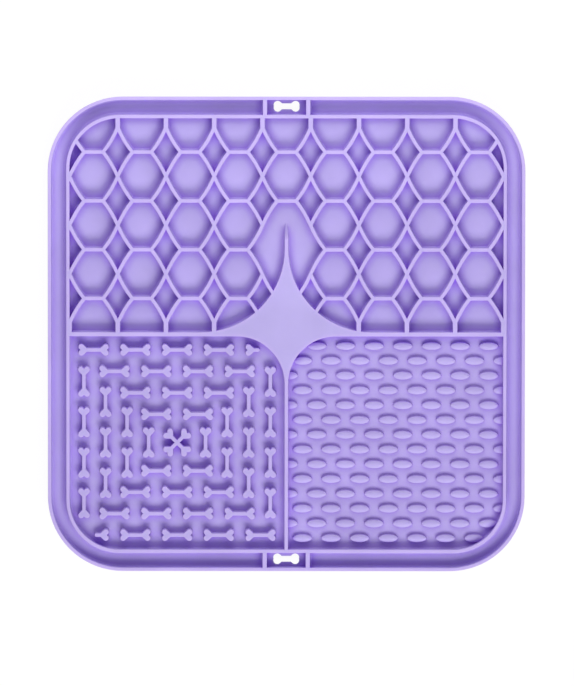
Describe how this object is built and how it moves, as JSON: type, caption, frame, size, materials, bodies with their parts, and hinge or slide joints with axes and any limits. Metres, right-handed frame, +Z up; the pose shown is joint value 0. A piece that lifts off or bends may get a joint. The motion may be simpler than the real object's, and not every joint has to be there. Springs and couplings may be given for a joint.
{
  "type": "lick mat",
  "caption": "Square silicone lick mat for pets: rim, gutter with bone-shaped hanging holes, and honeycomb, bone and oval licking fields around a star, held down by suction cups.",
  "frame": {"origin": "middle of the mat's square outline, on the plane of the suction cups' lips", "axes": "+X to the right across the mat, +Y towards the honeycomb half, +Z up out of the licking side"},
  "size_m": [0.2, 0.2, 0.0096],
  "materials": {
    "lavender_silicone": "matte moulded silicone"
  },
  "bodies": {
    "root": {"bones_ring_1": "lavender_silicone", "bones_ring_2": "lavender_silicone", "bones_ring_3": "lavender_silicone", "bones_ring_4": "lavender_silicone", "crossed_bones": "lavender_silicone", "field_floor": "lavender_silicone", "gutter_bar_bottom_left": "lavender_silicone", "gutter_bar_bottom_right": "lavender_silicone", "gutter_bar_top_left": "lavender_silicone", "gutter_bar_top_right": "lavender_silicone", "gutter_floor_left": "lavender_silicone", "gutter_floor_right": "lavender_silicone", "hang_tab_bottom": "lavender_silicone", "hang_tab_top": "lavender_silicone", "honeycomb_column_1": "lavender_silicone", "honeycomb_column_2": "lavender_silicone", "honeycomb_column_3": "lavender_silicone", "honeycomb_column_4": "lavender_silicone", "honeycomb_column_5": "lavender_silicone", "honeycomb_column_6": "lavender_silicone", "honeycomb_column_7": "lavender_silicone", "honeycomb_column_8": "lavender_silicone", "honeycomb_column_9": "lavender_silicone", "inner_wall": "lavender_silicone", "left_divider": "lavender_silicone", "lower_divider": "lavender_silicone", "outer_rim": "lavender_silicone", "oval_row_01": "lavender_silicone", "oval_row_02": "lavender_silicone", "oval_row_03": "lavender_silicone", "oval_row_04": "lavender_silicone", "oval_row_05": "lavender_silicone", "oval_row_06": "lavender_silicone", "oval_row_07": "lavender_silicone", "oval_row_08": "lavender_silicone", "oval_row_09": "lavender_silicone", "oval_row_10": "lavender_silicone", "oval_row_11": "lavender_silicone", "oval_row_12": "lavender_silicone", "oval_row_13": "lavender_silicone", "oval_row_14": "lavender_silicone", "right_divider": "lavender_silicone", "star_plate": "lavender_silicone", "suction_cup_row_1": "lavender_silicone", "suction_cup_row_2": "lavender_silicone", "suction_cup_row_3": "lavender_silicone", "suction_cup_row_4": "lavender_silicone", "suction_cup_row_5": "lavender_silicone", "suction_cup_row_6": "lavender_silicone"}
  },
  "joints": []
}
